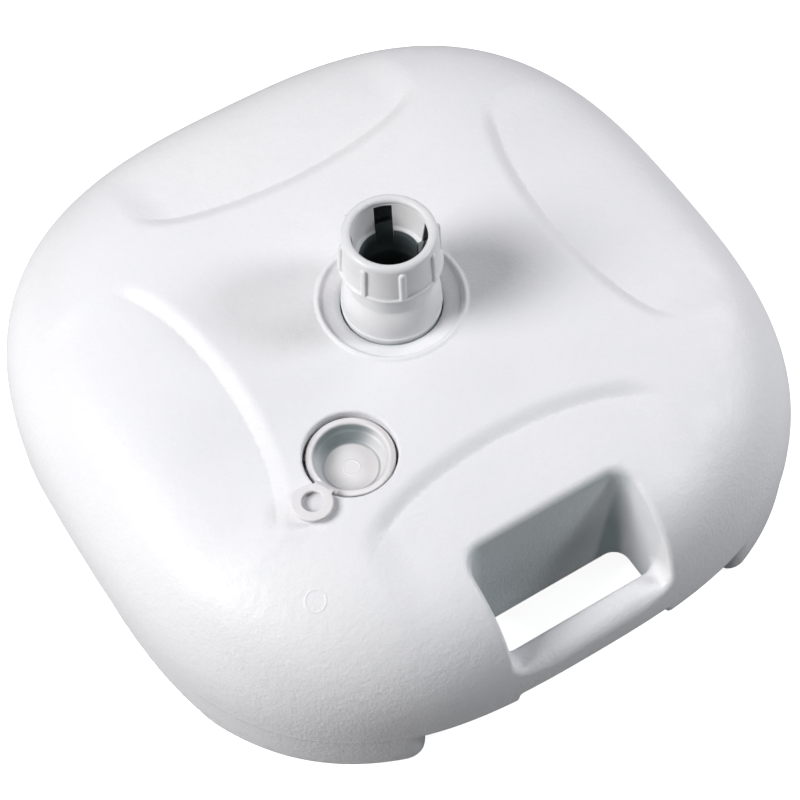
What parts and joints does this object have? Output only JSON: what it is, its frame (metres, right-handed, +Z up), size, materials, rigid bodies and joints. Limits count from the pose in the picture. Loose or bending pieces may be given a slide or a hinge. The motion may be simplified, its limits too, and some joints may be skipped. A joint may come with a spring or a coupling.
{
  "type": "parasol base",
  "caption": "Fillable moulded parasol base with a ribbed screw collar and split collet over a central pole socket, a pull-tab filler plug, a carrying handle and corner feet.",
  "frame": {"origin": "on the ground plane under the feet, on the axis of the pole socket", "axes": "+Z up along the pole; the carrying handle is on the -Y side; the filler plug is towards -X and -Y"},
  "size_m": [0.5006, 0.5006, 0.214],
  "materials": {
    "tank_plastic": "matte, fine moulded grain",
    "fitting_plastic": "satin",
    "plug_plastic": "satin, soft",
    "nut_plastic": "satin",
    "washer_rubber": "matte"
  },
  "bodies": {
    "tank": {"tank_body": "tank_plastic", "pole_tube": "fitting_plastic", "tube_lock_nut": "nut_plastic", "tube_washer": "washer_rubber"},
    "collet": {"split_collet": "fitting_plastic"},
    "collar": {"clamp_collar": "fitting_plastic"},
    "plug": {"filler_plug": "plug_plastic"}
  },
  "joints": [
    {"name": "collet_slide", "type": "slide", "parent": "tank", "child": "collet", "axis": [0, 0, 1], "range_m": [0, 0.003]},
    {"name": "collar_turn", "type": "hinge", "parent": "collet", "child": "collar", "pos_m": [0, 0, 0.198], "axis": [0, 0, 1], "range_deg": [0, 540]},
    {"name": "plug_lift", "type": "slide", "parent": "tank", "child": "plug", "axis": [0, 0, 1], "range_m": [0, 0.05]}
  ],
  "couplings": [
    {"joint": "collet_slide", "follows": "collar_turn", "m_per_rad": 0.00031831}
  ]
}
